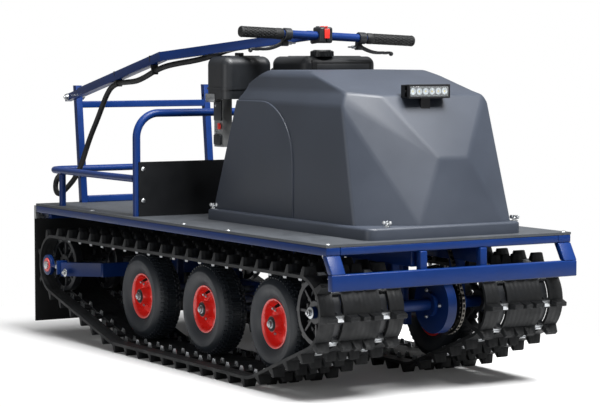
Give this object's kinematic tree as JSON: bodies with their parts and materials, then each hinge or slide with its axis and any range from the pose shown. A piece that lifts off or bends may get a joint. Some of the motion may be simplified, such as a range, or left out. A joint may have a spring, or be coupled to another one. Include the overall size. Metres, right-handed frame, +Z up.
{
  "type": "tracked snow tug",
  "caption": "Flat-deck motor tug on rubber tracks with pneumatic road wheels, hooded engine, railed cargo deck and a tiller that folds forward over the engine.",
  "frame": {"origin": "on the ground, under the middle of the overall length and width", "axes": "+X forward over the bumper, +Y to the left side, +Z up"},
  "size_m": [1.734, 0.784, 0.9191],
  "materials": {
    "blue_paint": "satin",
    "black_paint": "satin",
    "red_paint": "gloss",
    "zinc": "bright zinc",
    "steel": "machined",
    "tyre_rubber": "matt",
    "track_rubber": "matt",
    "rubber": "matt",
    "plywood": "film faced, textured",
    "hood_plastic": "fine grain",
    "black_plastic": "fine grain",
    "engine_alloy": "black coated",
    "lens": "clear"
  },
  "bodies": {
    "chassis": {"side_rails": "blue_paint", "cross_members": "blue_paint", "longitudinals": "blue_paint", "deck_board": "plywood", "bumper_beam": "blue_paint", "bumper_stays": "blue_paint", "flap_strips": "zinc", "mud_flap": "rubber", "tow_hitch": "blue_paint", "track_left": "track_rubber", "track_right": "track_rubber", "tyres": "tyre_rubber", "rims": "red_paint", "wheel_axles": "zinc", "wheel_beams": "blue_paint", "beam_posts": "blue_paint", "drive_axle": "blue_paint", "drive_sprockets": "black_plastic", "drive_hangers": "blue_paint", "drive_drum": "blue_paint", "chain_wheel": "steel", "jackshaft": "steel", "jackshaft_stand": "black_paint", "drive_chain": "steel", "idler_wheels": "black_plastic", "idler_axle": "zinc", "tensioner_frame": "blue_paint", "arch": "blue_paint", "panel": "black_paint", "deck_rail": "blue_paint", "rail_posts": "blue_paint", "tall_posts": "blue_paint", "post_bars": "blue_paint", "engine_base": "black_paint", "engine_block": "engine_alloy", "recoil_cover": "black_paint", "fuel_tank": "black_plastic", "tank_stays": "black_paint", "tank_cap": "black_plastic", "air_cleaner": "black_plastic", "muffler": "black_paint", "control_plate": "engine_alloy", "hood": "hood_plastic", "lamp_body": "black_paint", "lamp_lens": "lens", "hose_loop": "rubber", "hose_on_rail": "rubber"},
    "tiller": {"tiller_arm": "blue_paint", "pivot_bolt": "zinc", "handlebar": "blue_paint", "grips": "rubber", "lever_perches": "black_plastic", "brake_levers": "black_plastic", "switch_box": "black_plastic", "hose_on_arm": "rubber"}
  },
  "joints": [
    {"name": "tiller_fold", "type": "hinge", "parent": "chassis", "child": "tiller", "pos_m": [-0.82125, -0.2467, 0.713], "axis": [0, -1, 0], "range_deg": [0, 160], "deforming": ["hose_loop"]}
  ]
}
